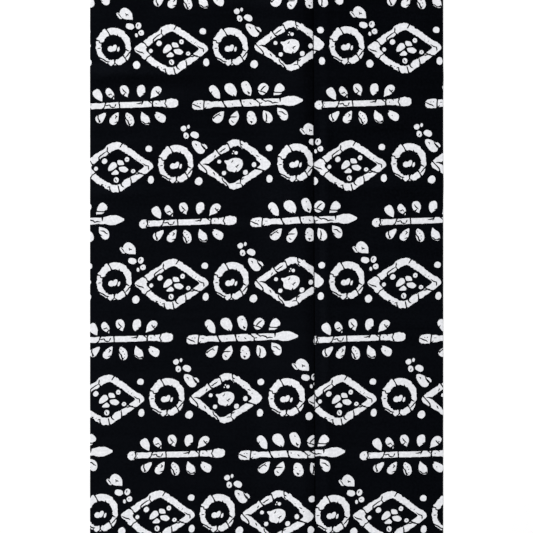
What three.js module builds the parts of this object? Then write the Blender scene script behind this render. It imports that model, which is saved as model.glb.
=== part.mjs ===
import * as THREE from 'three';

// One cut of plain-weave printed cotton, laid flat with its face up. One tuck
// runs the whole length of the cut: the cloth left of it comes over the top,
// turns under at a rounded lip, runs back a little, turns again and goes on to
// the right underneath. Low ridges cross the cloth where it has not been
// smoothed out. The cut is one piece, so it is one closed wall.
// Millimetres. X across the cut, Y along it, Z up from the surface it lies on.

// ---- the cut
const CUT_WIDTH = 457;         // laid width: half a yard
const CUT_LENGTH = 1143;       // laid length: 45 in, one finished edge to the other
const WALL = 1;                // thickness of the cloth wall
const CLOTH_COLOUR = 0x0c0d12; // ground colour of the print

// ---- the tuck
const LAYER_GAP = 0.35;        // clear gap between layers
const LIP_X = 61.5;            // outermost line of the lip
const TUCK_RUN_FAR = 0.3;      // straight run of the hidden layer at the +Y end
const TUCK_RUN_NEAR = 1.9;     // and at the -Y end
const BEND_STEPS = 4;          // facets round each half turn

// ---- how the layers settle on either side of the lip
const ROLL_RISE = 0.4;         // crown of the upper layer, above the lip
const ROLL_CROWN = 15;         // distance from the lip's bend to that crown
const ROLL_REACH = 84;         // distance at which the upper layer is down on the surface
const SWELL_RISE = 0.8;        // low swell where the lower layer comes out
const SWELL_CROWN = 18;        // distance from the lip to its top
const SWELL_REACH = 46;        // distance from the lip to where it ends

// ---- ridges, one row each: middle (x, y), half length along the ridge, half
// width across it, height, and the turn of its line from +X in degrees
const RIDGES = [
  { x: -175, y: 249, half: 128, spread: 19, rise: 1.10, turn: 0.5 },
  { x: -150, y: 205, half: 120, spread: 24, rise: 0.60, turn: 1.0 },
  { x: 200, y: 246, half: 62, spread: 17, rise: 0.80, turn: -3.0 },
  { x: 138, y: 186, half: 74, spread: 21, rise: 1.00, turn: -1.5 },
  { x: 172, y: 103, half: 92, spread: 25, rise: 0.95, turn: 3.0 },
  { x: -178, y: 92, half: 70, spread: 20, rise: 0.60, turn: -5.0 },
  { x: -30, y: 40, half: 74, spread: 22, rise: 0.50, turn: 0.0 },
  { x: 152, y: -262, half: 88, spread: 24, rise: 0.80, turn: -8.0 },
  { x: 20, y: 334, half: 190, spread: 22, rise: 0.60, turn: -0.5 },
  { x: -120, y: 452, half: 108, spread: 32, rise: 0.90, turn: 2.0 },
  { x: 150, y: -436, half: 96, spread: 34, rise: 0.90, turn: 3.0 },
];

// ---- how finely the wall is divided
const FLAT_STEP_X = 30;        // stations across the flat cloth
const FLAT_STEP_Y = 62;        // rows along the flat cloth
const RIDGE_ROWS = [-1, -0.55, -0.2, 0.2, 0.55, 1]; // rows over a ridge, in half widths
const MIN_ROW_STEP = 7;        // closest that two rows may come

const PITCH = WALL + LAYER_GAP;            // one layer to the next
const BEND = PITCH / 2;                    // radius of a half turn's middle line
const LIP_BEND_X = LIP_X - WALL / 2 - BEND; // axis of the lip's half turn
const LOW = WALL / 2;                      // middle line of a layer on the surface
const MIDDLE = LOW + PITCH;
const HIGH = LOW + 2 * PITCH;

const ease = (t) => { const c = Math.min(Math.max(t, 0), 1); return c * c * (3 - 2 * c); };
const hump = (t) => (Math.abs(t) < 1 ? (1 - t * t) ** 2 : 0);

// height that the ridges add at a point of the surface
function ridgeLift(x, y) {
  let lift = 0;
  for (const ridge of RIDGES) {
    const turn = THREE.MathUtils.degToRad(ridge.turn);
    const dx = x - ridge.x;
    const dy = y - ridge.y;
    const along = dx * Math.cos(turn) + dy * Math.sin(turn);
    const across = dy * Math.cos(turn) - dx * Math.sin(turn);
    lift = Math.max(lift, ridge.rise * hump(along / ridge.half) * hump(across / ridge.spread));
  }
  return lift;
}

// middle line of the upper layer, a = distance left of the lip's bend
function upperHeight(a) {
  if (a < ROLL_CROWN) return HIGH + ROLL_RISE * ease(a / ROLL_CROWN);
  return LOW + (HIGH + ROLL_RISE - LOW) * (1 - ease((a - ROLL_CROWN) / (ROLL_REACH - ROLL_CROWN)));
}

// middle line of the lower layer, b = distance right of the lip
function lowerHeight(b) {
  if (b <= 0 || b >= SWELL_REACH) return LOW;
  if (b < SWELL_CROWN) return LOW + SWELL_RISE * ease(b / SWELL_CROWN);
  return LOW + SWELL_RISE * (1 - ease((b - SWELL_CROWN) / (SWELL_REACH - SWELL_CROWN)));
}

function evenly(from, to, step) {
  const count = Math.max(1, Math.round(Math.abs(to - from) / step));
  return Array.from({ length: count }, (_, i) => from + (to - from) * (i / count));
}

// one section of the middle line, left to right through the tuck: each point
// carries the direction in which the printed face looks
function section(y) {
  const run = THREE.MathUtils.mapLinear(y, CUT_LENGTH / 2, -CUT_LENGTH / 2, TUCK_RUN_FAR, TUCK_RUN_NEAR);
  const points = [];
  const rollStations = [ROLL_REACH, 66, 50, 38, 27, ROLL_CROWN, 7.5, 0];
  const swellStations = [0, 5, 11, SWELL_CROWN, 26, 36, SWELL_REACH];

  for (const x of evenly(-CUT_WIDTH / 2, LIP_BEND_X - ROLL_REACH, FLAT_STEP_X)) points.push({ x, z: LOW, nx: 0, nz: 1 });
  for (const a of rollStations) points.push({ x: LIP_BEND_X - a, z: upperHeight(a), nx: 0, nz: 1 });
  for (let i = 1; i <= BEND_STEPS; i += 1) {
    const turn = Math.PI / 2 - (Math.PI * i) / BEND_STEPS;
    points.push({ x: LIP_BEND_X + BEND * Math.cos(turn), z: HIGH - BEND + BEND * Math.sin(turn), nx: Math.cos(turn), nz: Math.sin(turn) });
  }
  for (let i = 0; i <= BEND_STEPS; i += 1) {
    const turn = Math.PI / 2 + (Math.PI * i) / BEND_STEPS;
    points.push({ x: LIP_BEND_X - run + BEND * Math.cos(turn), z: LOW + BEND + BEND * Math.sin(turn), nx: -Math.cos(turn), nz: -Math.sin(turn) });
  }
  for (const b of swellStations) points.push({ x: LIP_X + b, z: lowerHeight(b), nx: 0, nz: 1 });
  for (const x of evenly(CUT_WIDTH / 2, LIP_X + SWELL_REACH, FLAT_STEP_X).reverse()) points.push({ x, z: LOW, nx: 0, nz: 1 });
  return points;
}

// rows along the cut: both ends, the ridges, and even rows between
function rowPositions() {
  const half = CUT_LENGTH / 2;
  const wanted = [-half, half];
  for (const ridge of RIDGES) for (const t of RIDGE_ROWS) wanted.push(ridge.y + t * ridge.spread);
  wanted.sort((a, b) => a - b);
  const rows = [wanted[0]];
  for (const y of wanted.slice(1)) {
    const last = rows[rows.length - 1];
    if (y - last < MIN_ROW_STEP) continue;
    for (const filler of evenly(last, y, FLAT_STEP_Y).slice(1)) rows.push(filler);
    rows.push(y);
  }
  rows[rows.length - 1] = half;
  return rows;
}

function clothWall() {
  const rows = rowPositions();
  const sections = rows.map(section);
  const across = sections[0].length;
  const positions = [];
  for (const side of [1, -1]) {
    rows.forEach((y, r) => {
      for (const p of sections[r]) {
        const lift = ridgeLift(p.x, y);
        positions.push(p.x + side * p.nx * (WALL / 2), y, p.z + side * p.nz * (WALL / 2) + lift);
      }
    });
  }
  const at = (side, r, c) => (side === 1 ? 0 : rows.length * across) + r * across + c;
  const index = [];
  const quad = (a, b, c, d) => index.push(a, b, c, a, c, d);
  for (let r = 0; r + 1 < rows.length; r += 1) {
    for (let c = 0; c + 1 < across; c += 1) {
      quad(at(1, r, c), at(1, r, c + 1), at(1, r + 1, c + 1), at(1, r + 1, c));
      quad(at(-1, r, c), at(-1, r + 1, c), at(-1, r + 1, c + 1), at(-1, r, c + 1));
    }
    quad(at(1, r, 0), at(1, r + 1, 0), at(-1, r + 1, 0), at(-1, r, 0));
    quad(at(1, r, across - 1), at(-1, r, across - 1), at(-1, r + 1, across - 1), at(1, r + 1, across - 1));
  }
  const end = rows.length - 1;
  for (let c = 0; c + 1 < across; c += 1) {
    quad(at(1, 0, c), at(-1, 0, c), at(-1, 0, c + 1), at(1, 0, c + 1));
    quad(at(1, end, c), at(1, end, c + 1), at(-1, end, c + 1), at(-1, end, c));
  }
  const geometry = new THREE.BufferGeometry();
  geometry.setAttribute('position', new THREE.Float32BufferAttribute(positions, 3));
  geometry.setIndex(index);
  geometry.computeVertexNormals();
  return geometry;
}

const cloth = new THREE.Mesh(
  clothWall(),
  new THREE.MeshStandardMaterial({ color: CLOTH_COLOUR, roughness: 0.85, metalness: 0 }),
);
cloth.name = 'cloth';

const group = new THREE.Group();
group.add(cloth);

export default group;
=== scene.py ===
import math
import random

import bpy
import numpy as np
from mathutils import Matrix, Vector
from mathutils.geometry import delaunay_2d_cdt


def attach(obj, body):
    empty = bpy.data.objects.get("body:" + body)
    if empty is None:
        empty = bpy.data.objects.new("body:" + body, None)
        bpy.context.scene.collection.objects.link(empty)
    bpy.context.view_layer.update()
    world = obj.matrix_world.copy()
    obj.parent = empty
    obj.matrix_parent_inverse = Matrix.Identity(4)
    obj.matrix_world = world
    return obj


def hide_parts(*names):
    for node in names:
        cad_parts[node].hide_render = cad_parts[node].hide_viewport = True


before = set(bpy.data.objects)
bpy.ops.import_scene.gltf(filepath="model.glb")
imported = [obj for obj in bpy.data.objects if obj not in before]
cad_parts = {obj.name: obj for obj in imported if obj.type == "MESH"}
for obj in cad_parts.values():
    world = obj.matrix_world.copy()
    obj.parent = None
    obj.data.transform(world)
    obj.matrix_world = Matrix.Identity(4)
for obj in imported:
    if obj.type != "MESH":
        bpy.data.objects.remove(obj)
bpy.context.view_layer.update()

# One cut of wax print cotton, laid flat with one tuck along its length. Sizes in this part of the
# script are millimetres, and the mesh is written in metres at the end.
MM = 0.001

# ------------------------------------------------------------------ the cut and its tuck
CUT_WIDTH = 457.0        # as laid
CUT_LENGTH = 1143.0
WALL = 1.0               # the solid's wall, which this thin shell lies in
SHEET = 0.5              # thickness of the shell
LAYER_GAP = 0.3
LIP_X = 61.5             # outermost line of the solid's lip
TUCK_RUN_FAR = 1.164     # hidden straight run at the +Y end
TUCK_RUN_NEAR = 2.764    # and at the -Y end: longer than the solid's by what the tighter bends save
SELVEDGE = 7.0           # unprinted strip at each finished end

PITCH = SHEET + LAYER_GAP
BEND = PITCH / 2
BEND_STEPS = 6
LIP_BEND_X = LIP_X - WALL / 2 - BEND
LOW = SHEET / 2
MIDDLE = LOW + PITCH
HIGH = LOW + 2 * PITCH
LEFT = -CUT_WIDTH / 2
HALF = CUT_LENGTH / 2

ROLL_RISE, ROLL_NOSE, ROLL_CROWN, ROLL_REACH = 1.1, 11.5, 11.5, 76.0
# the lower layer right of the lip: a faint groove, then a low swell with a soft crease behind it
SWELL = [
    {"at": 0, "rise": 0.00},
    {"at": 2.8, "rise": 0.12},
    {"at": 5.8, "rise": 0.02},
    {"at": 18, "rise": 0.86},
    {"at": 23, "rise": 0.48},
    {"at": 32, "rise": 0.36},
    {"at": 47, "rise": 0.00},
]

# ridges of the solid, one row each: middle, half length, half width, height, turn from +X in degrees
RIDGES = [
    {"x": -175, "y": 249, "half": 128, "spread": 19, "rise": 1.10, "turn": 0.5},
    {"x": -150, "y": 205, "half": 120, "spread": 24, "rise": 0.60, "turn": 1.0},
    {"x": 200, "y": 246, "half": 62, "spread": 17, "rise": 0.80, "turn": -3.0},
    {"x": 138, "y": 186, "half": 74, "spread": 21, "rise": 1.00, "turn": -1.5},
    {"x": 172, "y": 103, "half": 92, "spread": 25, "rise": 0.95, "turn": 3.0},
    {"x": -178, "y": 92, "half": 70, "spread": 20, "rise": 0.60, "turn": -5.0},
    {"x": -30, "y": 40, "half": 74, "spread": 22, "rise": 0.50, "turn": 0.0},
    {"x": 152, "y": -262, "half": 88, "spread": 24, "rise": 0.80, "turn": -8.0},
    {"x": 20, "y": 334, "half": 190, "spread": 22, "rise": 0.60, "turn": -0.5},
    {"x": -120, "y": 452, "half": 108, "spread": 32, "rise": 0.90, "turn": 2.0},
    {"x": 150, "y": -436, "half": 96, "spread": 34, "rise": 0.90, "turn": 3.0},
]
# small creases that only the shell has
CREASES = [
    {"x": -70, "y": 263, "half": 60, "spread": 9, "rise": 0.40, "turn": 1.0},
    {"x": -150, "y": 232, "half": 70, "spread": 8, "rise": 0.44, "turn": -1.5},
    {"x": 92, "y": 232, "half": 26, "spread": 7, "rise": 0.80, "turn": 14.0},
    {"x": 96, "y": 246, "half": 24, "spread": 6, "rise": 0.66, "turn": -12.0},
    {"x": 40, "y": 250, "half": 22, "spread": 7, "rise": 0.44, "turn": 10.0},
    {"x": 150, "y": 216, "half": 60, "spread": 10, "rise": 0.75, "turn": 4.0},
    {"x": 118, "y": 60, "half": 60, "spread": 14, "rise": 0.44, "turn": 5.0},
    {"x": -205, "y": 150, "half": 40, "spread": 12, "rise": 0.54, "turn": 3.0},
    {"x": -60, "y": -20, "half": 90, "spread": 18, "rise": 0.44, "turn": -3.0},
    {"x": 178, "y": 8, "half": 52, "spread": 16, "rise": 0.54, "turn": -4.0},
    {"x": -150, "y": -190, "half": 90, "spread": 20, "rise": 0.50, "turn": 2.0},
    {"x": 140, "y": -130, "half": 80, "spread": 18, "rise": 0.50, "turn": 2.0},
    {"x": -40, "y": -330, "half": 110, "spread": 22, "rise": 0.64, "turn": -4.0},
    {"x": -150, "y": -470, "half": 80, "spread": 24, "rise": 0.80, "turn": 4.0},
    {"x": 120, "y": 430, "half": 90, "spread": 22, "rise": 0.80, "turn": -5.0},
    {"x": -170, "y": 248, "half": 112, "spread": 13, "rise": 1.10, "turn": 0.5},
    {"x": -150, "y": 214, "half": 96, "spread": 12, "rise": 0.92, "turn": 1.5},
    {"x": 10, "y": 337, "half": 170, "spread": 13, "rise": 0.54, "turn": -0.5},
    {"x": -185, "y": 92, "half": 62, "spread": 13, "rise": 0.72, "turn": -7.0},
    {"x": -30, "y": 49, "half": 62, "spread": 12, "rise": 0.58, "turn": 1.0},
    {"x": 140, "y": 185, "half": 68, "spread": 13, "rise": 0.86, "turn": -1.5},
    {"x": 152, "y": 145, "half": 84, "spread": 15, "rise": 0.76, "turn": 1.5},
    {"x": 162, "y": 104, "half": 84, "spread": 14, "rise": 0.90, "turn": 3.0},
    {"x": 168, "y": 66, "half": 70, "spread": 12, "rise": 0.54, "turn": 2.0},
    {"x": 165, "y": 29, "half": 78, "spread": 15, "rise": 0.80, "turn": -1.0},
    {"x": 152, "y": -256, "half": 82, "spread": 15, "rise": 0.80, "turn": -13.0},
]


def ease(t):
    t = np.clip(t, 0, 1)
    return t * t * (3 - 2 * t)


def hump(t):
    return np.where(np.abs(t) < 1, (1 - t * t) ** 2, 0)


def ridge_lift(x, y, rows):
    """Height that a table of ridges adds at points of the surface."""
    lift = np.zeros_like(x)
    for r in rows:
        turn = math.radians(r["turn"])
        dx, dy = x - r["x"], y - r["y"]
        along = dx * math.cos(turn) + dy * math.sin(turn)
        across = dy * math.cos(turn) - dx * math.sin(turn)
        lift = np.maximum(lift, r["rise"] * hump(along / r["half"]) * hump(across / r["spread"]))
    return lift


def ramp(t, soft=0.09):
    """An even slope from 0 to 1 with eased ends."""
    t = np.clip(t, 0, 1)
    ends = 1 / (2 * soft * (1 - soft))
    return np.select([t < soft, t > 1 - soft], [ends * t * t, 1 - ends * (1 - t) ** 2], (t - soft / 2) / (1 - soft))


def upper_height(a):
    """Middle line of the upper layer, a = distance left of the lip's bend."""
    nose = HIGH + ROLL_RISE * (1 - (1 - np.clip(a / ROLL_NOSE, 0, 1)) ** 2)
    back = ramp((a - ROLL_CROWN) / (ROLL_REACH - ROLL_CROWN))
    return np.where(a < ROLL_CROWN, nose, LOW + (HIGH + ROLL_RISE - LOW) * (1 - back))


def lower_height(b, v):
    """Middle line of the lower layer, b = distance right of the lip: the swell is uneven along the cut."""
    height = np.full_like(b, LOW)
    share = np.interp(v, [140, 225], [0.95, 0.45]) + 0.10 * np.sin(v * 0.047) + 0.07 * np.sin(v * 0.113 + 1)
    for near, far in zip(SWELL, SWELL[1:]):
        t = ease((b - near["at"]) / (far["at"] - near["at"]))
        inside = (b >= near["at"]) & (b < far["at"])
        height = np.where(inside, LOW + (near["rise"] + (far["rise"] - near["rise"]) * t) * share, height)
    return height


def tuck_run(v):
    return TUCK_RUN_NEAR + (TUCK_RUN_FAR - TUCK_RUN_NEAR) * (v + HALF) / CUT_LENGTH


LIP_START = LIP_BEND_X - LEFT                        # where the lip's bend starts, along the cloth
LIP_END = LIP_START + math.pi * BEND


def drift(v):
    """How far right of its own line the lip lies: it leans a little."""
    return np.clip(-0.0035 * v, -1.4, 1.4)


def tuck_end(v):
    """Where the lower bend ends, along the cloth."""
    return LIP_END + drift(v) + tuck_run(v) + math.pi * BEND


def right_edge(v):
    """The cloth's right edge, along the cloth: laid, it is straight."""
    return tuck_end(v) - drift(v) + tuck_run(v) + CUT_WIDTH / 2 - LIP_BEND_X


def place(u, v):
    """Cloth (u across, v along) to its middle line in space, and the way its printed face looks."""
    run = tuck_run(v)
    lip, start, end = LIP_BEND_X + drift(v), LIP_START + drift(v), LIP_END + drift(v)
    low_bend = end + run
    low_end = low_bend + math.pi * BEND
    lip_turn = math.pi / 2 - np.clip((u - start) / BEND, 0, math.pi)
    low_turn = math.pi / 2 + np.clip((u - low_bend) / BEND, 0, math.pi)
    x_left = LEFT + u
    x_right = lip - run + (u - low_end)
    x_lip = lip + BEND * np.cos(lip_turn)
    x_mid = lip - (u - end)
    x_low = lip - run + BEND * np.cos(low_turn)
    parts = [u <= start, u < end, u < low_bend, u < low_end]
    x = np.select(parts, [x_left, x_lip, x_mid, x_low], x_right)
    z = np.select(
        parts,
        [
            upper_height(lip - x_left),
            HIGH - BEND + BEND * np.sin(lip_turn),
            np.full_like(u, MIDDLE),
            LOW + BEND + BEND * np.sin(low_turn),
        ],
        lower_height(x_right - LIP_X - drift(v), v),
    )
    nx = np.select(parts, [0 * u, np.cos(lip_turn), 0 * u, -np.cos(low_turn)], 0 * u)
    nz = np.select(parts, [0 * u + 1, np.sin(lip_turn), 0 * u - 1, -np.sin(low_turn)], 0 * u + 1)
    z = z + ridge_lift(x, v, RIDGES) + ridge_lift(x, v, CREASES)
    return np.stack([x, v, z], 1), np.stack([nx, 0 * u, nz], 1)


# ------------------------------------------------------------------ shapes of the print
PAINT_GROUND, PAINT_PRINT, PAINT_SELVEDGE = 0, 1, 2


def rough_edge(points, amount, rng, waves=(2, 3, 4, 5, 7, 9)):
    """The same outline with an uneven, hand-cut edge."""
    n = len(points)
    terms = [(k, rng.uniform(0, 2 * math.pi), rng.uniform(0.4, 1.0) / math.sqrt(k)) for k in waves]
    out = []
    for i, (x, y) in enumerate(points):
        (x0, y0), (x1, y1) = points[i - 1], points[(i + 1) % n]
        tx, ty = x1 - x0, y1 - y0
        size = math.hypot(tx, ty) or 1.0
        push = amount * sum(a * math.cos(k * 2 * math.pi * i / n + p) for k, p, a in terms)
        push += amount * 0.35 * rng.uniform(-1, 1)
        out.append((x + push * ty / size, y - push * tx / size))
    return out


def moved(points, at=(0, 0), turn=0.0):
    c, s = math.cos(math.radians(turn)), math.sin(math.radians(turn))
    return [(at[0] + x * c - y * s, at[1] + x * s + y * c) for x, y in points]


def blob(width, height, count, rough, rng, square=2.0):
    points = []
    for i in range(count):
        t = 2 * math.pi * i / count
        c, s = math.cos(t), math.sin(t)
        r = (abs(c) ** square + abs(s) ** square) ** (-1 / square)
        points.append((width / 2 * r * c, height / 2 * r * s))
    return rough_edge(points, rough, rng)


def drop(length, width, fullness, rough, rng, count=17):
    """A seed shape along +X, with its point at +X."""
    points = []
    for i in range(count):
        t = 2 * math.pi * i / count
        y = math.sin(t) * abs(math.sin(t / 2)) ** fullness
        points.append((length / 2 * math.cos(t), width * 0.5 * y * (1 + 0.2 * fullness)))
    return rough_edge(points, rough, rng, waves=(2, 3, 4, 5))


def cut_stone(corners, radius, rough, rng):
    """A flat-sided shape with its corners taken off."""
    points = []
    n = len(corners)
    for i, (cx, cy) in enumerate(corners):
        for qx, qy in (corners[i - 1], corners[(i + 1) % n]):
            size = math.hypot(qx - cx, qy - cy)
            k = min(radius / size, 0.42)
            points.append((cx + (qx - cx) * k, cy + (qy - cy) * k))
        ax, ay = points[-2]
        bx, by = points[-1]
        points.insert(-1, ((ax + bx + 2 * cx) / 4, (ay + by + 2 * cy) / 4))
    return rough_edge(points, rough, rng, waves=(3, 5))


def lozenge(corners, radii, bulge, spacing=1.0):
    """A four-cornered outline with rounded corners and sides that swell by their own bulge."""
    points = []
    for i, (cx, cy) in enumerate(corners):
        qx, qy = corners[(i + 1) % 4]
        length = math.hypot(qx - cx, qy - cy)
        nx, ny = (qy - cy) / length, -(qx - cx) / length
        if nx * (cx + qx) + ny * (cy + qy) < 0:
            nx, ny = -nx, -ny
        t0, t1 = radii[i] / length, 1 - radii[(i + 1) % 4] / length
        steps = max(4, int(length * (t1 - t0) / spacing))
        for k in range(steps + 1):
            t = t0 + (t1 - t0) * k / steps
            swell = 4 * bulge[i] * t * (1 - t)
            points.append((cx + (qx - cx) * t + nx * swell, cy + (qy - cy) * t + ny * swell))
        points.append(None)
    out = []
    for k, p in enumerate(points):
        if p is not None:
            out.append(p)
            continue
        (ax, ay), (bx, by) = points[k - 1], points[(k + 1) % len(points)]
        corner = corners[([j for j, q in enumerate(points) if q is None].index(k) + 1) % 4]
        for t in (0.25, 0.5, 0.75):
            w = ((1 - t) ** 2, 2 * t * (1 - t), t * t)
            out.append((w[0] * ax + w[1] * corner[0] + w[2] * bx, w[0] * ay + w[1] * corner[1] + w[2] * by))
    return out


def fissure(path, rng, width=1.0, open_start=False, open_end=False, jag=0.13):
    """A break in the wax: a thin line of ground colour, wider where it opens at an edge."""
    points = [path[0]]
    for (x0, y0), (x1, y1) in zip(path, path[1:]):
        length = math.hypot(x1 - x0, y1 - y0)
        if length > 3.0:
            t, push = rng.uniform(0.35, 0.65), rng.uniform(-jag, jag) * min(length, 6.0)
            points.append((x0 + (x1 - x0) * t - (y1 - y0) / length * push, y0 + (y1 - y0) * t + (x1 - x0) / length * push))
        points.append((x1, y1))
    up, down = [], []
    last = len(points) - 1
    for i, (x, y) in enumerate(points):
        (x0, y0), (x1, y1) = points[max(i - 1, 0)], points[min(i + 1, last)]
        size = math.hypot(x1 - x0, y1 - y0) or 1.0
        half = width / 2 * rng.uniform(0.85, 1.15)
        if i == 0:
            half = width * 0.95 if open_start else width * 0.2
        if i == last:
            half = width * 0.95 if open_end else width * 0.2
        nx, ny = -(y1 - y0) / size * half, (x1 - x0) / size * half
        up.append((x + nx, y + ny))
        down.append((x - nx, y - ny))
    return up + down[::-1]


def speck(at, size, rng):
    return moved(blob(size, size * rng.uniform(0.7, 1.0), 5, 0.08, rng), at, rng.uniform(0, 180))


CRACK = 1.65             # usual width of a crack


class Band:
    """A closed band between two outlines, cut in blocks that sit a little in or out of line."""

    def __init__(self, outer, inner, blocks, rng):
        self.rng = rng
        self.outer, self.inner = self.by_angle(outer), self.by_angle(inner)
        self.breaks = [b["to"] for b in blocks]
        self.out_step = [b["out"] for b in blocks]
        self.in_step = [b["in"] for b in blocks]
        self.waves = [(k, rng.uniform(0, 6.28), rng.uniform(0.12, 0.26)) for k in (7, 11, 17, 23, 31)]
        self.inner_waves = [(k, rng.uniform(0, 6.28), rng.uniform(0.12, 0.24)) for k in (6, 9, 13, 19, 27)]

    @staticmethod
    def by_angle(points):
        p = np.array(points)
        angle = np.degrees(np.arctan2(p[:, 1], p[:, 0])) % 360
        order = np.argsort(angle)
        return np.interp(np.arange(0, 360, 0.5), angle[order], np.hypot(p[:, 0], p[:, 1])[order], period=360)

    def block(self, angle):
        for i, b in enumerate(self.breaks):
            if angle % 360 < b:
                return i
        return 0

    def radius(self, angle, inner):
        table = self.inner if inner else self.outer
        waves = self.inner_waves if inner else self.waves
        r = float(np.interp(angle % 360, np.arange(0, 360.5, 0.5), np.append(table, table[0])))
        r += sum(a * math.cos(math.radians(k * angle) + p) for k, p, a in waves)
        return r + (self.in_step if inner else self.out_step)[self.block(angle)]

    def at(self, angle, depth):
        r = self.radius(angle, False) * (1 - depth) + self.radius(angle, True) * depth
        return r * math.cos(math.radians(angle)), r * math.sin(math.radians(angle))

    def outline(self, inner, spacing):
        angles, angle = [], 0.0
        while angle < 359.2:
            angles.append(angle)
            angle += math.degrees(spacing / self.radius(angle, inner))
        keep = [a for a in angles if all(abs(a - b) > 1.4 for b in self.breaks)]
        keep += [b + d for b in self.breaks if b < 360 for d in (-0.7, 0.7)]
        out = []
        for a in sorted(keep):
            r = self.radius(a, inner) + self.rng.uniform(-0.42, 0.42)
            out.append((r * math.cos(math.radians(a)), r * math.sin(math.radians(a))))
        return out

    def cracks(self, rows):
        shapes = []
        for row in rows:
            if len(row) == 1:
                shapes.append((PAINT_GROUND, speck(self.at(*row[0]), 1.5, self.rng)))
                continue
            ends = [not 0 < row[0][1] < 1, not 0 < row[-1][1] < 1]
            shapes.append((PAINT_GROUND, fissure([self.at(a, d) for a, d in row], self.rng, CRACK, *ends)))
        return shapes


# ---- the ring row: sizes and places from the middle of the first ring, u to the right, v up. Blocks
# run from the one before's end to their own, in degrees from +u; breaks are rows of (degrees, depth)
RING = {
    "outer": (44.8, 48.4), "hole": (31.4, 33.0), "hole_at": (0.5, -0.9),
    "blocks": [
        {"to": 45, "out": -0.3, "in": -0.9}, {"to": 75, "out": -0.6, "in": -0.7}, {"to": 112, "out": 0.2, "in": 0.0},
        {"to": 161, "out": 0.9, "in": -0.2}, {"to": 187, "out": 0.6, "in": 0.5}, {"to": 217, "out": -0.1, "in": 0.6},
        {"to": 254, "out": -0.9, "in": 0.3}, {"to": 283, "out": 0.0, "in": 0.1}, {"to": 313, "out": 0.8, "in": -0.9},
        {"to": 345, "out": 0.9, "in": 0.1}, {"to": 361, "out": 0.1, "in": -0.4},
    ],
    "breaks": [
        [(113, -0.1), (110, 0.5), (107, 1.1)], [(160, -0.1), (158, 0.45), (164, 0.6), (163, 1.1)], [(187, 0.2), (187, 0.8)],
        [(215, -0.1), (230, 0.3), (243, 0.3), (256, 0.6)], [(250, 0.4), (256, -0.15)], [(276, 1.05), (275, 0.4), (268, -0.1)],
        [(275, 0.4), (283, -0.1)], [(312, -0.12), (315, 0.5), (318, 1.1)], [(316, 0.5), (330, 0.4), (344, -0.1)],
        [(347, 1.1), (344, 0.5), (345, 0.2)], [(70, 1.1), (72, 0.75)],
    ],
}
CORE = [
    {"u": -3.6, "v": -3.0, "w": 8.0, "h": 7.2, "turn": 0},
    {"u": 1.1, "v": -1.7, "w": 5.8, "h": 8.8, "turn": -22},
    {"u": 6.3, "v": -3.3, "w": 2.8, "h": 6.6, "turn": -16},
]
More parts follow.
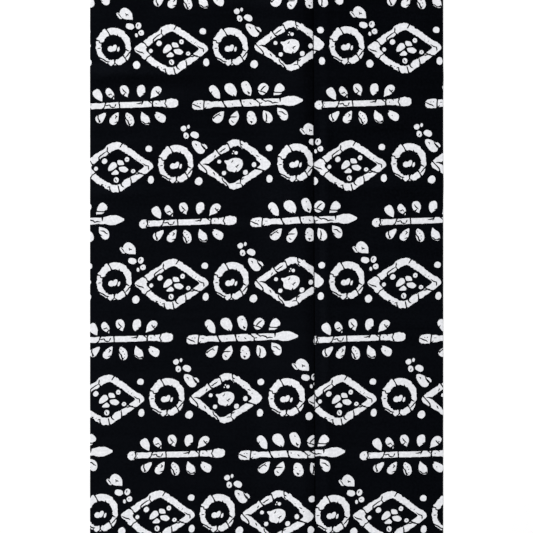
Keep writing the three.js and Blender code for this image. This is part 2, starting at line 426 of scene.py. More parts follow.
LOZENGES = {
    "seeds": {
        "outer": [(-50.0, 1.5), (-2.0, 36.4), (49.6, 1.5), (1.5, -35.4)], "outer_round": [6.0, 14.0, 6.0, 14.0],
        "outer_swell": [-0.2, -0.3, 0.4, 2.8],
        "inner": [(-35.5, 0.5), (-0.5, 26.0), (37.0, 1.0), (0.0, -25.6)], "inner_round": [4.0, 9.0, 4.0, 10.0],
        "inner_swell": [0.3, -0.4, -0.6, 2.0],
        "blocks": [
            {"to": 17, "out": 0.3, "in": 0.0}, {"to": 80, "out": 0.2, "in": 0.2}, {"to": 122, "out": 0.4, "in": -0.2},
            {"to": 140, "out": -0.4, "in": -0.5}, {"to": 166, "out": 0.0, "in": 0.4}, {"to": 198, "out": 0.4, "in": 0.0},
            {"to": 229, "out": 0.2, "in": 0.5}, {"to": 252, "out": -0.6, "in": 0.2}, {"to": 287, "out": 0.5, "in": 0.0},
            {"to": 317, "out": -0.4, "in": -0.4}, {"to": 345, "out": 0.2, "in": 0.5}, {"to": 361, "out": 0.3, "in": 0.0},
        ],
        "breaks": [
            [(180, 0.05), (184, 0.3), (188, 0.5)], [(165, -0.1), (168, 0.5), (174, 1.1)], [(193, 1.1), (197, 0.5), (202, -0.1)],
            [(117, 0.15), (123, 0.55), (122, 1.1)], [(124, 0.55), (140, 0.6), (152, 0.7), (158, 1.1)], [(79, -0.1), (82, 0.35), (85, 0.7)],
            [(18, 0.45), (15, 0.8)], [(23, 0.75)], [(9, 0.85), (2, 0.55), (355, 0.2)], [(337, 1.1), (341, 0.75), (347, 0.4)],
            [(347, 1.1), (345, 0.5), (345, -0.1)], [(325, 0.95), (318, 0.5), (310, -0.1)], [(275, 0.95), (277, 0.5), (279, -0.1)],
            [(286, 1.1), (288, 0.5), (292, 0.2)], [(229, 0.0), (233, 0.25)], [(240, 0.4)], [(246, 0.25), (251, 0.55), (258, -0.1)],
        ],
    },
    "stone": {
        "outer": [(-51.0, -0.5), (1.5, 38.2), (50.0, 1.0), (1.0, -33.8)], "outer_round": [9.0, 20.0, 10.0, 9.0],
        "outer_swell": [0.3, 0.1, 0.2, -0.3],
        "inner": [(-36.0, 0.5), (3.0, 27.5), (35.5, 0.5), (-3.5, -25.5)], "inner_round": [3.0, 10.0, 5.0, 5.0],
        "inner_swell": [0.7, 0.3, 0.2, -0.4],
        "blocks": [
            {"to": 14, "out": 0.6, "in": 0.0}, {"to": 31, "out": -0.4, "in": 1.3}, {"to": 66, "out": 0.4, "in": 0.9},
            {"to": 79, "out": -0.2, "in": -0.6}, {"to": 110, "out": 0.7, "in": 0.2}, {"to": 142, "out": -0.7, "in": -0.6},
            {"to": 175, "out": 0.2, "in": 0.3}, {"to": 197, "out": 0.4, "in": 0.0}, {"to": 226, "out": 0.2, "in": 0.4},
            {"to": 257, "out": -0.3, "in": 0.2}, {"to": 293, "out": 0.4, "in": 0.0}, {"to": 348, "out": -0.3, "in": 0.4},
            {"to": 361, "out": 0.6, "in": 0.0},
        ],
        "breaks": [
            [(175, -0.1), (181, 0.4), (190, 0.4), (197, -0.1)], [(178, 0.45), (179, 1.05)], [(198, 0.75), (208, 0.5)],
            [(225, 0.95), (233, 0.6), (246, 0.5), (257, -0.1)], [(277, 0.7), (290, 0.5), (299, 1.1)], [(297, 0.8), (308, 0.85)],
            [(290, 0.5), (293, -0.1)], [(351, 1.1), (348, -0.1)], [(25, 0.65), (19, 0.5)], [(38, 0.7)], [(12, 0.6)],
            [(80, -0.1), (77, 0.5), (69, 0.45)], [(76, 0.6), (66, 0.95)], [(111, -0.05), (109, 0.4), (107, 1.1)],
            [(119, 0.45), (130, 0.5), (141, 0.5)], [(140, -0.1), (143, 0.5), (144, 1.1)], [(152, 0.5), (160, 0.85)],
        ],
    },
}
SEEDS = [
    [(-11.5, -5.0), (-11.0, 1.5), (-6.5, 7.0), (-2.0, 6.5), (0.5, 1.5), (-5.5, -3.5)],
    [(-0.5, 9.5), (7.0, 9.0), (9.5, 3.0), (1.0, 3.0)],
    [(1.5, 0.0), (10.0, 1.5), (15.5, -3.0), (11.5, -7.0), (4.0, -5.0)],
    [(-7.5, -8.0), (-1.5, -2.5), (3.0, -6.5), (1.5, -9.5), (-6.0, -9.5)],
]
STONE = [
    (-13.6, 5.0), (-11.5, 2.5), (-10.0, 0.5), (-10.0, -4.5), (-7.5, -7.5), (-2.5, -8.5), (0.5, -9.5), (5.5, -8.0),
    (9.5, -4.0), (11.0, 1.0), (9.5, 6.5), (5.0, 9.0), (0.0, 9.5), (-5.5, 8.0), (-9.0, 6.0), (-12.5, 6.5),
]
STONE_BREAKS = [[(-2.0, 7.0), (-3.0, 4.5), (-4.5, 3.5)], [(6.0, 0.5), (2.5, -2.5), (1.0, -1.5)], [(2.5, -2.5), (4.0, -4.0)], [(2.0, -10.0), (3.0, -6.5)]]
RINGS = [{"u": 0.0, "v": 0.0}, {"u": 151.5, "v": 0.0}]
PLACED_LOZENGES = [{"u": 75.5, "v": -4.0, "kind": "seeds"}, {"u": 228.0, "v": 0.0, "kind": "stone", "group": "stone"}]
DOTS = [
    {"u": 29.8, "v": -23.8, "w": 9.8, "h": 11.0, "turn": 0},
    {"u": 21.3, "v": 26.2, "w": 11.6, "h": 8.5, "turn": -15},
    {"u": 32.2, "v": 27.0, "w": 7.6, "h": 9.4, "turn": 0, "breaks": [[(-0.5, 2.5), (-1.5, -1.0)]]},
    {"u": 35.8, "v": 17.9, "w": 8.0, "h": 7.6, "turn": 0, "specks": [(-0.8, 0.2)]},
    {"u": 29.6, "v": 14.8, "w": 3.9, "h": 5.8, "turn": 15},
    {"u": 59.0, "v": 4.2, "w": 7.4, "h": 7.6, "turn": 0},
    {"u": 48.3, "v": -5.5, "w": 5.6, "h": 5.6, "turn": 0},
    {"u": 88.0, "v": 6.2, "w": 6.4, "h": 6.8, "turn": 0, "specks": [(0.0, 0.0)]},
    {"u": 96.6, "v": -9.0, "w": 6.0, "h": 5.8, "turn": 0, "specks": [(0.0, 0.2)]},
    {"u": 75.2, "v": -20.2, "w": 7.2, "h": 7.6, "turn": 0, "breaks": [[(-1.6, 1.8), (-0.4, -0.6), (0.6, -2.2)]]},
    {"u": 115.6, "v": 19.8, "w": 9.0, "h": 8.8, "turn": 0},
    {"u": 120.0, "v": -20.4, "w": 8.2, "h": 10.8, "turn": 6},
    {"u": 182.0, "v": -22.8, "w": 10.4, "h": 10.8, "turn": 0},
    {"u": 7.6, "v": 40.0, "w": 10.5, "h": 5.2, "turn": -50, "breaks": [[(-2.4, 3.4), (2.8, -3.0)]]},
    {"u": 159.6, "v": 45.6, "w": 8.0, "h": 7.6, "turn": 0},
    {"u": 165.8, "v": 47.8, "w": 4.0, "h": 5.2, "turn": 0},
    {"u": 163.2, "v": 36.4, "w": 7.2, "h": 9.0, "turn": 20, "breaks": [[(0.8, 0.5), (-0.4, -2.5)]]},
    {"u": 174.4, "v": 37.2, "w": 12.0, "h": 8.8, "turn": -24},
    {"u": 188.4, "v": 22.2, "w": 4.0, "h": 8.6, "turn": 44},
    {"u": 208.0, "v": 4.6, "w": 5.6, "h": 5.2, "turn": 0, "group": "stone"},
    {"u": 214.8, "v": -10.2, "w": 6.0, "h": 6.0, "turn": 0, "group": "stone"},
    {"u": 242.5, "v": -9.5, "w": 6.8, "h": 7.0, "turn": 0, "group": "stone"},
    {"u": 253.2, "v": 0.4, "w": 6.2, "h": 7.0, "turn": 10, "group": "stone"},
    {"u": 229.4, "v": 15.8, "w": 5.0, "h": 4.8, "turn": 0, "group": "stone"},
    {"u": 226.0, "v": 18.0, "w": 2.2, "h": 2.2, "turn": 0, "group": "stone"},
    {"u": 224.8, "v": 15.0, "w": 1.8, "h": 2.0, "turn": 0, "group": "stone"},
    {"u": 271.4, "v": 19.6, "w": 9.2, "h": 9.0, "turn": 0},
    {"u": 273.5, "v": -20.4, "w": 8.6, "h": 10.4, "turn": 6},
]
ROW_LEAVES = [
    {"u": 17.0, "v": 41.8, "long": 19.5, "wide": 14.0, "full": 0.5, "tip": -42, "breaks": [[(-1.6, 1.6), (-0.4, -0.5), (-0.8, -2.4)], [(-0.4, -0.5), (2.6, -1.2)]]},
    {"u": 179.4, "v": 21.8, "long": 21.0, "wide": 13.5, "full": 0.55, "tip": 137, "breaks": [[(-4.5, 4.0), (-2.5, 3.0), (-2.0, 1.0)], [(3.0, 5.0), (9.0, -3.0)]]},
]

# ---- the leaf row: two stems, each with five leaves above and five below
STEMS = [
    {
        "u": 21.2, "v": 0.5, "long": 125.5, "turn": 1.8, "profile": "bone",
        "breaks": [
            [(-30.5, 4.6), (-32, 0.5), (-35, -4.6)], [(-32, 0.5), (-26, 1), (-24.5, -1.8), (-19, -2.6)], [(-19.5, -2.5), (-17.5, 2)],
            [(-13.2, 5), (-13, 0), (-12, -5)],
            [(9, 1.2), (14, 1.6), (17.5, 1.2)], [(17.5, 5), (15.5, -0.5)], [(24.5, 5), (29.5, -0.2)], [(30.5, 5), (29.8, -5)], [(34.5, 0.2)],
            [(47, 5.5), (45.6, 0), (48, -5)], [(-53.5, -5), (-52, -1), (-53, 5)], [(-50.5, -2.5)], [(-50, 2)], [(-57, 1)], [(38, 4.6), (40, 1.8)],
        ],
    },
    {
        "u": 173.2, "v": 1.8, "long": 142.0, "turn": 2.1, "profile": "spear",
        "breaks": [
            [(-72, 2), (-65, -1.2), (-60, -4)], [(-64, 2)], [(-60.5, 2)], [(-55.6, 7), (-56, 0), (-55.8, -7)], [(-52, 1), (-49, 1)], [(-52.5, -2.5), (-56, -7)],
            [(-32, 5), (-27, -5)], [(-19.4, 0.3), (-18.8, -2.2)], [(-8.6, 5), (-5.6, -5)], [(-4, 1.5)], [(3.5, 0.5), (6, -2)],
            [(8.5, 5), (14, 1), (16.4, -1.3), (16.8, -5.5)], [(16.4, -1.3), (20, -0.3)], [(18.8, 5), (24, 1), (29.5, 0.8), (33, -1.7), (40.5, -1.6)],
            [(42.7, 5), (42.7, -0.8)],
        ],
    },
]
STEM_HALVES = {
    "bone": [
        {"at": 0.00, "half": 2.2}, {"at": 0.02, "half": 4.8}, {"at": 0.04, "half": 5.6}, {"at": 0.07, "half": 5.0},
        {"at": 0.09, "half": 3.6}, {"at": 0.30, "half": 3.5}, {"at": 0.52, "half": 3.9}, {"at": 0.70, "half": 3.5},
        {"at": 0.84, "half": 3.8}, {"at": 0.88, "half": 5.2}, {"at": 0.93, "half": 6.1}, {"at": 0.98, "half": 4.8},
        {"at": 1.00, "half": 2.6},
    ],
    "spear": [
        {"at": 0.00, "half": 2.6}, {"at": 0.02, "half": 5.4}, {"at": 0.05, "half": 6.3}, {"at": 0.09, "half": 6.0},
        {"at": 0.12, "half": 5.0}, {"at": 0.15, "half": 4.7}, {"at": 0.18, "half": 3.5}, {"at": 0.24, "half": 3.5}, {"at": 0.34, "half": 4.1},
        {"at": 0.60, "half": 4.5}, {"at": 0.78, "half": 3.9}, {"at": 0.83, "half": 4.6}, {"at": 0.88, "half": 6.2},
        {"at": 0.93, "half": 6.0}, {"at": 0.97, "half": 3.6}, {"at": 1.00, "half": 1.0},
    ],
}
LEAVES = [
    {"stem": 0, "u": -40.6, "v": 12.9, "long": 18.0, "wide": 11.5, "full": 0.8, "tip": -54},
    {"stem": 0, "u": -25.0, "v": 15.0, "long": 17.0, "wide": 9.0, "full": 0.6, "tip": -56, "breaks": [[(-3.5, -1.5), (1.0, 0.0), (2.5, -2.5)], [(5.0, -3.0), (2.0, -6.5)]]},
    {"stem": 0, "u": -6.2, "v": 18.2, "long": 16.5, "wide": 11.5, "full": 0.7, "tip": -64, "breaks": [[(-3.5, 3.5), (1.0, -1.5), (-3.0, -6.0)], [(1.0, -1.5), (3.0, -3.0)]]},
    {"stem": 0, "u": 14.6, "v": 18.4, "long": 15.8, "wide": 11.5, "full": 0.5, "tip": -96, "breaks": [[(7.5, -2.0), (4.0, -3.5), (2.0, -4.0)]]},
    {"stem": 0, "u": 33.2, "v": 16.2, "long": 18.5, "wide": 12.0, "full": 0.85, "tip": -126, "breaks": [[(0.5, 2.5), (3.0, -0.5), (6.5, -3.5)], [(3.0, -0.5), (6.0, 1.0)]]},
    {"stem": 0, "u": -36.8, "v": -15.6, "long": 16.5, "wide": 11.0, "full": 0.85, "tip": 46, "breaks": [[(-3.0, 4.0), (-4.0, -1.0), (-1.5, -6.5)]]},
    {"stem": 0, "u": -19.2, "v": -17.0, "long": 17.8, "wide": 11.0, "full": 0.6, "tip": 64, "breaks": [[(0.5, 4.5), (3.0, 2.5), (0.5, -0.5)], [(-0.5, -5.5), (5.5, -5.0)], [(-8.0, 0.5), (-3.5, 2.0)]]},
    {"stem": 0, "u": -0.2, "v": -18.2, "long": 17.5, "wide": 11.5, "full": 0.3, "tip": 108, "breaks": [[(-7.0, 4.5), (-2.0, -2.0), (1.0, -8.0)], [(0.0, 2.5)], [(2.0, -1.0)], [(2.5, -5.0)], [(-3.0, 5.5)]]},
    {"stem": 0, "u": 19.6, "v": -17.0, "long": 19.0, "wide": 11.0, "full": 0.85, "tip": 116, "breaks": [[(-4.5, -3.5), (0.5, -7.0), (6.5, -6.0)]]},
    {"stem": 0, "u": 39.0, "v": -15.2, "long": 17.5, "wide": 12.0, "full": 0.75, "tip": 138, "breaks": [[(-1.0, -0.5)], [(-7.5, 5.5), (-5.5, 3.5)]]},
    {"stem": 1, "u": -41.2, "v": 16.0, "long": 20.5, "wide": 11.5, "full": 0.6, "tip": -54, "breaks": [[(-4.0, 1.5), (-6.5, -2.0)]]},
    {"stem": 1, "u": -20.4, "v": 18.4, "long": 21.0, "wide": 14.0, "full": 0.8, "tip": -56, "breaks": [[(2.5, -5.5), (5.0, -9.0)]]},
    {"stem": 1, "u": -0.2, "v": 20.2, "long": 20.5, "wide": 12.8, "full": 0.6, "tip": -64, "breaks": [[(-1.0, 5.0)], [(1.0, -3.0), (3.5, -6.5)]]},
    {"stem": 1, "u": 20.6, "v": 19.6, "long": 15.5, "wide": 14.0, "full": 0.3, "tip": -108, "breaks": [[(4.0, 4.5), (-1.0, 0.5), (-3.0, -3.0), (2.0, -4.5), (8.0, -5.5)], [(-8.0, -1.0), (-3.0, -3.0)]]},
    {"stem": 1, "u": 40.6, "v": 18.0, "long": 17.5, "wide": 13.5, "full": 0.8, "tip": -130, "breaks": [[(-8.0, -1.5), (0.0, -3.0), (7.0, -2.0)]]},
    {"stem": 1, "u": -36.2, "v": -15.8, "long": 18.5, "wide": 12.5, "full": 0.75, "tip": 50, "breaks": [[(-8.0, -2.0), (-3.0, 2.0), (-0.5, 3.0), (1.0, 5.0)], [(-0.5, 3.0), (3.0, 1.0)]]},
    {"stem": 1, "u": -16.4, "v": -17.6, "long": 19.0, "wide": 12.0, "full": 0.5, "tip": 70, "breaks": [[(-7.0, 0.0), (-1.0, 1.5), (3.5, 1.5)], [(-4.0, -3.0), (-0.5, -6.0)]]},
    {"stem": 1, "u": 5.8, "v": -17.4, "long": 18.5, "wide": 12.5, "full": 0.2, "tip": 108, "breaks": [[(-3.0, 2.5)], [(-5.5, 0.0)], [(2.0, -1.5)], [(-2.0, -4.5), (1.0, -6.5)], [(9.0, 3.5), (4.5, 2.5)]]},
    {"stem": 1, "u": 26.0, "v": -15.8, "long": 18.0, "wide": 12.5, "full": 0.65, "tip": 118, "breaks": [[(-2.0, 5.0), (-0.5, -0.5), (-1.0, -7.0)]]},
    {"stem": 1, "u": 45.4, "v": -12.2, "long": 19.5, "wide": 12.5, "full": 0.7, "tip": 130, "breaks": [[(-4.5, 2.5), (0.0, 2.0), (6.0, -2.0)], [(-7.0, -1.5), (-1.5, -4.5)]]},
]


def break_shapes(rows, rng, inside):
    """Breaks given in millimetres about a shape's middle; inside says whether an end stops within it."""
    shapes = []
    for row in rows:
        if len(row) == 1:
            shapes.append((PAINT_GROUND, speck(row[0], 1.7, rng)))
        else:
            shapes.append((PAINT_GROUND, fissure(row, rng, CRACK, not inside(row[0]), not inside(row[-1]))))
    return shapes


def ring_shapes(rng):
    outer = blob(*RING["outer"], 120, 0.0, rng, 2.15)
    hole = moved(blob(*RING["hole"], 100, 0.0, rng, 2.1), RING["hole_at"])
    band = Band(outer, hole, RING["blocks"], rng)
    shapes = [(PAINT_PRINT, band.outline(False, 2.2)), (PAINT_GROUND, band.outline(True, 2.0))]
    shapes += band.cracks(RING["breaks"])
    for c in CORE:
        shapes.append((PAINT_PRINT, moved(blob(c["w"], c["h"], 11, 0.22, rng, 2.3), (c["u"], c["v"]), c["turn"])))
    return shapes


def lozenge_shapes(kind, rng):
    z = LOZENGES[kind]
    band = Band(lozenge(z["outer"], z["outer_round"], z["outer_swell"]), lozenge(z["inner"], z["inner_round"], z["inner_swell"]), z["blocks"], rng)
    shapes = [(PAINT_PRINT, band.outline(False, 1.75)), (PAINT_GROUND, band.outline(True, 1.6))]
    shapes += band.cracks(z["breaks"])
    if kind == "seeds":
        shapes += [(PAINT_PRINT, cut_stone(s, 2.2, 0.16, rng)) for s in SEEDS]
    else:
        shapes.append((PAINT_PRINT, cut_stone(STONE, 1.4, 0.22, rng)))
        shapes += break_shapes(STONE_BREAKS, rng, lambda p: math.hypot(*p) < 9)
    return shapes


def stem_shapes(stem, rng):
    rows = STEM_HALVES[stem["profile"]]
    length = stem["long"]
    at = [r["at"] for r in rows]
    half = [r["half"] for r in rows]
    steps = sorted(set([i / 26 for i in range(27)] + at))
    upper, lower = [], []
    for t in steps:
        h = float(np.interp(t, at, half))
        upper.append((length * (t - 0.5), h + rng.uniform(-0.4, 0.4)))
        lower.append((length * (t - 0.5), -h + rng.uniform(-0.4, 0.4)))
    shapes = [(PAINT_PRINT, lower + upper[::-1])]
    shapes += break_shapes(stem["breaks"], rng, lambda p: abs(p[1]) < 4.4)
    return [(paint, moved(points, (stem["u"], stem["v"]), stem["turn"])) for paint, points in shapes]


def leaf_shapes(leaf, rng):
    body = drop(leaf["long"], leaf["wide"], leaf["full"], 0.5, rng)
    shapes = [(PAINT_PRINT, moved(body, (0, 0), leaf["tip"]))]
    shapes += break_shapes(leaf.get("breaks", []), rng, lambda p: math.hypot(*p) < 0.42 * leaf["wide"] + 1.2)
    return [(paint, moved(points, (leaf["u"], leaf["v"]))) for paint, points in shapes]


def dot_shapes(d, rng):
    count = 14 if d["w"] > 8 else 11 if d["w"] > 5 else 9 if d["w"] > 3 else 6
    shapes = [(PAINT_PRINT, moved(blob(0.94 * d["w"], 0.94 * d["h"], count, 0.025 * d["w"], rng, 2.1), (0, 0), d["turn"]))]
    shapes += break_shapes(d.get("breaks", []), rng, lambda p: True)
    shapes += [(PAINT_GROUND, speck(at, 1.6, rng)) for at in d.get("specks", [])]
    return shapes


def row_shapes():
    """The shapes of one repeat of each row, the same in every repeat, as on printed cloth."""
    rng = random.Random(71)
    ring_row, leaf_row = [], []

    def put(row, shapes, at, group=""):
        row.extend((paint, moved(points, at), group) for paint, points in shapes)

    ring = ring_shapes(rng)
    for r in RINGS:
        put(ring_row, ring, (r["u"], r["v"]))
    for z in PLACED_LOZENGES:
        put(ring_row, lozenge_shapes(z["kind"], rng), (z["u"], z["v"]), z.get("group", ""))
    for d in DOTS:
        put(ring_row, dot_shapes(d, rng), (d["u"], d["v"]), d.get("group", ""))
    for leaf in ROW_LEAVES:
        put(ring_row, leaf_shapes(leaf, rng), (0, 0))
    for i, stem in enumerate(STEMS):
        put(leaf_row, stem_shapes(stem, rng), (0, 0))
        for leaf in LEAVES:
            if leaf["stem"] == i:
                put(leaf_row, leaf_shapes(leaf, rng), (stem["u"], 0))
    return {"ring": ring_row, "leaf": leaf_row}


# ---- how the rows stack, and how each lies on this cut: slip to the right, shear (slip for each mm up),
# lift, tilt, lift beyond the tuck, the stone lozenge's own drop and push to the right, and what more the
# print goes right (near) and up (dip) beside the tuck
REPEAT_U, REPEAT_V = 305.8, 302.5
FIRST_RING = (30.3, 284.8)      # the middle of a ring, from the left edge and from the middle of the length
ROWS = [
    {"v": 0.0, "shift": 0.0, "row": "ring"},
    {"v": -75.3, "shift": 0.0, "row": "leaf"},
    {"v": -152.5, "shift": -70.7, "row": "ring"},
    {"v": -227.5, "shift": 75.0, "row": "leaf"},
]
LIES = [
    {"v": 600, "slip": 0.0, "shear": 0.000, "lift": 0.0, "tilt": 0.0040, "drop": -2.3, "beyond": 0.0, "push": 0.0, "near": 0.0, "dip": 0.0},
    {"v": 362, "slip": 0.0, "shear": 0.000, "lift": 0.0, "tilt": 0.0020, "drop": -2.3, "beyond": 0.0, "push": 0.0, "near": 0.0, "dip": 0.0},
    {"v": 285, "slip": 0.2, "shear": 0.000, "lift": -0.1, "tilt": 0.0008, "drop": 0.0, "beyond": 1.6, "push": 1.6, "near": 0.2, "dip": 0.2},
    {"v": 210, "slip": -0.2, "shear": 0.003, "lift": 0.6, "tilt": 0.0080, "drop": -2.3, "beyond": -0.4, "push": 0.0, "near": 1.1, "dip": 0.2},
    {"v": 132, "slip": 0.1, "shear": 0.042, "lift": 1.6, "tilt": 0.0085, "drop": -2.3, "beyond": -0.4, "push": -0.6, "near": 0.8, "dip": 0.5},
    {"v": 58, "slip": 0.2, "shear": 0.058, "lift": 0.5, "tilt": 0.0085, "drop": -2.3, "beyond": -0.8, "push": 0.0, "near": 1.1, "dip": 0.3},
    {"v": -17, "slip": 1.2, "shear": 0.080, "lift": -0.9, "tilt": 0.0028, "drop": -2.5, "beyond": 0.4, "push": 1.0, "near": 0.1, "dip": 0.2},
    {"v": -93, "slip": -7.2, "shear": 0.080, "lift": -0.8, "tilt": 0.0025, "drop": -2.3, "beyond": 0.0, "push": 0.0, "near": 2.1, "dip": -1.1},
    {"v": -170, "slip": -11.4, "shear": 0.080, "lift": 1.2, "tilt": 0.0000, "drop": -2.3, "beyond": 0.2, "push": -0.3, "near": 1.7, "dip": -0.8},
    {"v": -245, "slip": -14.9, "shear": 0.080, "lift": 1.4, "tilt": -0.0010, "drop": -2.3, "beyond": 0.4, "push": 0.0, "near": 2.0, "dip": -1.8},
    {"v": -320, "slip": -16.7, "shear": 0.095, "lift": 1.2, "tilt": -0.0010, "drop": -3.9, "beyond": -0.4, "push": 0.6, "near": 0.4, "dip": -1.4},
    {"v": -600, "slip": -24.0, "shear": 0.030, "lift": 1.0, "tilt": 0.0020, "drop": -2.3, "beyond": 0.0, "push": 0.0, "near": 0.0, "dip": 0.0},
]
ACROSS_TUCK = 1.9               # how far right of its drawn place the print comes out of the tuck


def row_lies(v):
    rows = LIES[::-1]
    return {name: float(np.interp(v, [r["v"] for r in rows], [r[name] for r in rows])) for name in rows[0]}


def print_shapes():
    repeat = row_shapes()
    placed = []
    for level in range(-2, 3):
        for row in ROWS:
            v0 = FIRST_RING[1] + row["v"] - level * REPEAT_V
            if abs(v0) > HALF + 60:
                continue
            lie = row_lies(v0)
            for column in range(-2, 3):
                u0 = FIRST_RING[0] + row["shift"] + lie["slip"] + column * REPEAT_U
                for paint, points, group in repeat[row["row"]]:
                    mid_u = u0 + sum(p[0] for p in points) / len(points)
                    mid_v = v0 + sum(p[1] for p in points) / len(points)
                    if not -60 < mid_u < CUT_WIDTH + 70 or abs(mid_v) > HALF + 40:
                        continue
                    laid = []
                    for x, y in points:
                        past = float(ease((u0 + x - LIP_START) / (LIP_END - LIP_START + 3.0)))
                        by_lip = float(ease((u0 + x - 250) / 26)) * (1 - 0.5 * past) * float(ease((350 - u0 - x) / 38))
                        u = u0 + x + lie["shear"] * y + ACROSS_TUCK * past + (lie["push"] if group == "stone" else 0.0)
                        v = v0 + y + lie["lift"] + lie["beyond"] * past + (lie["drop"] if group == "stone" else 0.0)
                        u, v = u + lie["near"] * by_lip, v + lie["dip"] * by_lip
                        laid.append((u, v + (u - 228) * lie["tilt"]))
                    placed.append((paint, laid))
    return placed


# ------------------------------------------------------------------ the mesh
GRID, GRID_ROW = 9.0, 5.3


def grid_points():
    rng = random.Random(5)
    rows = int(round(CUT_LENGTH / GRID_ROW))
    vs = [-HALF + CUT_LENGTH * j / rows for j in range(rows + 1)]
    edge_left, edge_right, top, bottom, loose = [], [], [], [], []
    columns = []
    for j, v in enumerate(vs):
        run, start = float(tuck_run(v)), LIP_START + float(drift(v))
        end, edge = float(tuck_end(v)), float(right_edge(v))
        fold = [start + math.pi * BEND * k / BEND_STEPS for k in range(BEND_STEPS + 1)]
        fold += [start + run + math.pi * BEND * (1 + k / BEND_STEPS) for k in range(BEND_STEPS + 1)]
        near_left = [start - d for d in (13.0, 9.5, 6.5, 4.0, 1.8)]
        near_right = [end + run + 1.2 + d for d in (0.0, 2.5, 5.5, 9.0, 13.0, 17.0, 20.0, 23.0, 28.0, 35.0, 43.0)]
        columns.append(near_left[-1:] + fold + near_right[:1])
        wobble = (0.06 * math.sin(v * 0.11) + rng.uniform(-0.03, 0.03)) if 0 < j < rows else 0
        wobble_right = (0.06 * math.sin(v * 0.09 + 2) + rng.uniform(-0.03, 0.03)) if 0 < j < rows else 0
        edge_left.append((abs(wobble), v))
        edge_right.append((edge - abs(wobble_right), v))
        spread = [near_left[0] * k / int(near_left[0] / GRID) for k in range(1, int(near_left[0] / GRID))]
        rest = edge - near_right[-1]
        spread += [near_right[-1] + rest * k / int(rest / GRID) for k in range(1, int(rest / GRID))]
        line = spread + near_left[:-1] + near_right[1:]
        if j in (0, rows):
            (bottom if j == 0 else top).extend(sorted((u, v) for u in line + columns[-1]))
        else:
            shift = GRID * 0.25 * (1 if j % 2 else -1)
            for u in line:
                far = u < near_left[0] - GRID or u > near_right[-1] + GRID
                inside = 2.0 < u + (shift if far else 0) < edge - 2.0
                if inside:
                    loose.append((u + (shift if far else 0), v))
    lines = [[(columns[j][c], vs[j]) for j in range(len(vs))] for c in range(len(columns[0]))]
    outline = edge_left[:1] + bottom + edge_right + top[::-1] + edge_left[:0:-1]
    return outline, lines, loose


